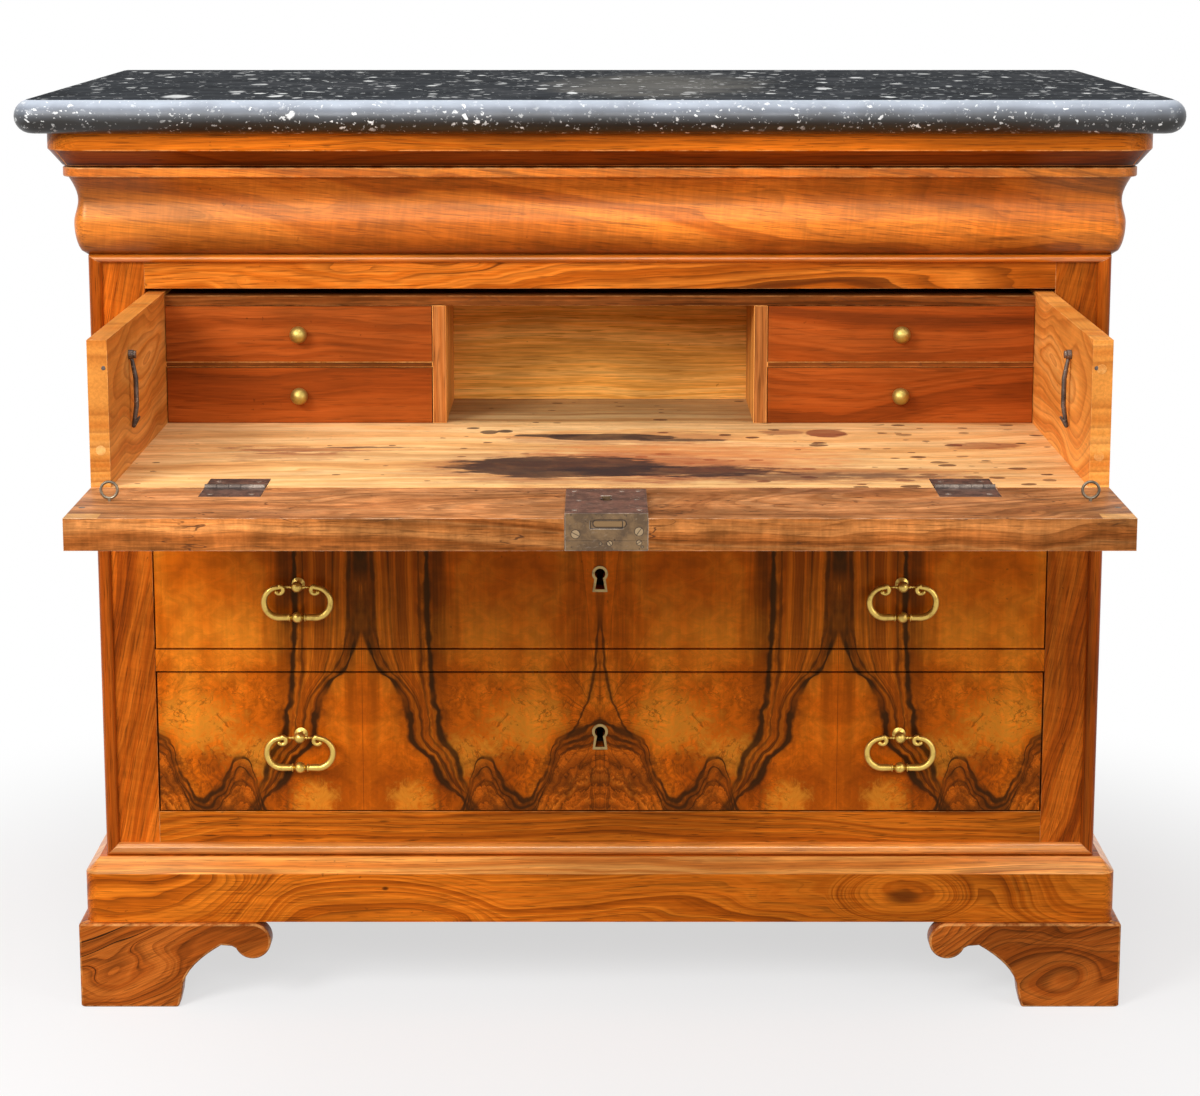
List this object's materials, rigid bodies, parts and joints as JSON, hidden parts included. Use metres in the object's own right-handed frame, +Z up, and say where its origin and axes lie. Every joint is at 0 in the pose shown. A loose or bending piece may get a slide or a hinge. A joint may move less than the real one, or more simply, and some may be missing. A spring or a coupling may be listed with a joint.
{
  "type": "secretary chest",
  "caption": "Chest of drawers with a stone top, an ogee frieze drawer, a pull-out writing drawer with a fall flap and small inner drawers, deep drawers below and bracket feet.",
  "frame": {"origin": "on the floor, in the middle of the whole width and of the whole depth with the writing drawer pulled out and its flap open", "axes": "+X to the right of somebody who faces the chest, +Y from the front to the back, +Z up"},
  "size_m": [1.266, 1.1174, 1.0375],
  "materials": {
    "marble": "polished black marble with pale flecks",
    "walnut": "walnut veneer with a gloss polish",
    "burr": "figured walnut veneer with a gloss polish",
    "pine": "bare inner wood",
    "pale_wood": "pale wood with a thin worn polish",
    "brass": "polished brass",
    "iron": "dark wrought iron"
  },
  "bodies": {
    "carcase": {"marble_top": "marble", "cornice": "walnut", "top_frame": "pine", "frieze_returns": "walnut", "bead_frame": "walnut", "stiles": "walnut", "top_rail": "walnut", "writing_rail": "walnut", "middle_rail": "walnut", "bottom_rail": "walnut", "side_panel_left": "walnut", "side_panel_right": "walnut", "back_panel": "pine", "frieze_deck": "pine", "drawer_runners": "pine", "bottom_board": "pine", "plinth": "walnut", "foot_front_left": "walnut", "foot_front_right": "walnut", "foot_rear_left": "walnut", "foot_rear_right": "walnut", "glue_blocks": "pine"},
    "frieze_drawer": {"frieze_front": "walnut", "frieze_box": "pine"},
    "writing_drawer": {"writing_board": "pale_wood", "side_board_left": "pale_wood", "side_board_right": "pale_wood", "writing_frame": "pine", "fitting_top": "walnut", "fitting_partitions": "walnut", "writing_board_irons": "iron"},
    "stay_hook_left": {"stay_hook_left": "iron"},
    "stay_hook_right": {"stay_hook_right": "iron"},
    "small_drawer_upper_left": {"small_drawer_upper_left": "burr", "knob_upper_left": "brass"},
    "small_drawer_lower_left": {"small_drawer_lower_left": "burr", "knob_lower_left": "brass"},
    "small_drawer_upper_right": {"small_drawer_upper_right": "burr", "knob_upper_right": "brass"},
    "small_drawer_lower_right": {"small_drawer_lower_right": "burr", "knob_lower_right": "brass"},
    "flap": {"flap": "walnut", "flap_hinge_leaves": "iron", "flap_lock": "iron", "flap_eyes": "iron"},
    "flap_bolt": {"flap_bolt": "iron"},
    "middle_drawer": {"middle_front": "burr", "middle_box": "pine", "middle_brasses": "brass", "middle_lock": "iron"},
    "middle_bolt": {"middle_bolt": "iron"},
    "bail_middle_left": {"bail_middle_left": "brass"},
    "bail_middle_right": {"bail_middle_right": "brass"},
    "lower_drawer": {"lower_front": "burr", "lower_box": "pine", "lower_brasses": "brass", "lower_lock": "iron"},
    "lower_bolt": {"lower_bolt": "iron"},
    "bail_lower_left": {"bail_lower_left": "brass"},
    "bail_lower_right": {"bail_lower_right": "brass"}
  },
  "joints": [
    {"name": "frieze_drawer_slide", "type": "slide", "parent": "carcase", "child": "frieze_drawer", "axis": [0, -1, 0], "range_m": [0, 0.32]},
    {"name": "writing_drawer_slide", "type": "slide", "parent": "carcase", "child": "writing_drawer", "axis": [0, 1, 0], "range_m": [0, 0.401]},
    {"name": "flap_hinge", "type": "hinge", "parent": "writing_drawer", "child": "flap", "pos_m": [0, -0.40925, 0.675], "axis": [-1, 0, 0], "range_deg": [0, 90]},
    {"name": "flap_bolt_slide", "type": "slide", "parent": "flap", "child": "flap_bolt", "axis": [0, -1, 0], "range_m": [0, 0.008]},
    {"name": "stay_hook_left_pivot", "type": "hinge", "parent": "writing_drawer", "child": "stay_hook_left", "pos_m": [-0.4825, -0.28425, 0.789], "axis": [1, 0, 0], "range_deg": [-80, 80]},
    {"name": "stay_hook_right_pivot", "type": "hinge", "parent": "writing_drawer", "child": "stay_hook_right", "pos_m": [0.4825, -0.28425, 0.789], "axis": [1, 0, 0], "range_deg": [-80, 80]},
    {"name": "small_drawer_upper_left_slide", "type": "slide", "parent": "writing_drawer", "child": "small_drawer_upper_left", "axis": [0, -1, 0], "range_m": [0, 0.11]},
    {"name": "small_drawer_lower_left_slide", "type": "slide", "parent": "writing_drawer", "child": "small_drawer_lower_left", "axis": [0, -1, 0], "range_m": [0, 0.11]},
    {"name": "small_drawer_upper_right_slide", "type": "slide", "parent": "writing_drawer", "child": "small_drawer_upper_right", "axis": [0, -1, 0], "range_m": [0, 0.11]},
    {"name": "small_drawer_lower_right_slide", "type": "slide", "parent": "writing_drawer", "child": "small_drawer_lower_right", "axis": [0, -1, 0], "range_m": [0, 0.11]},
    {"name": "middle_drawer_slide", "type": "slide", "parent": "carcase", "child": "middle_drawer", "axis": [0, -1, 0], "range_m": [0, 0.34]},
    {"name": "middle_bolt_slide", "type": "slide", "parent": "middle_drawer", "child": "middle_bolt", "axis": [0, 0, 1], "range_m": [0, 0.008]},
    {"name": "lower_drawer_slide", "type": "slide", "parent": "carcase", "child": "lower_drawer", "axis": [0, -1, 0], "range_m": [0, 0.34]},
    {"name": "lower_bolt_slide", "type": "slide", "parent": "lower_drawer", "child": "lower_bolt", "axis": [0, 0, 1], "range_m": [0, 0.008]},
    {"name": "bail_middle_left_swing", "type": "hinge", "parent": "middle_drawer", "child": "bail_middle_left", "pos_m": [-0.34, -0.05525, 0.491], "axis": [-1, 0, 0], "range_deg": [-12, 95]},
    {"name": "bail_middle_right_swing", "type": "hinge", "parent": "middle_drawer", "child": "bail_middle_right", "pos_m": [0.34, -0.05525, 0.491], "axis": [-1, 0, 0], "range_deg": [-12, 95]},
    {"name": "bail_lower_left_swing", "type": "hinge", "parent": "lower_drawer", "child": "bail_lower_left", "pos_m": [-0.34, -0.05525, 0.316], "axis": [-1, 0, 0], "range_deg": [-12, 95]},
    {"name": "bail_lower_right_swing", "type": "hinge", "parent": "lower_drawer", "child": "bail_lower_right", "pos_m": [0.34, -0.05525, 0.316], "axis": [-1, 0, 0], "range_deg": [-12, 95]}
  ]
}
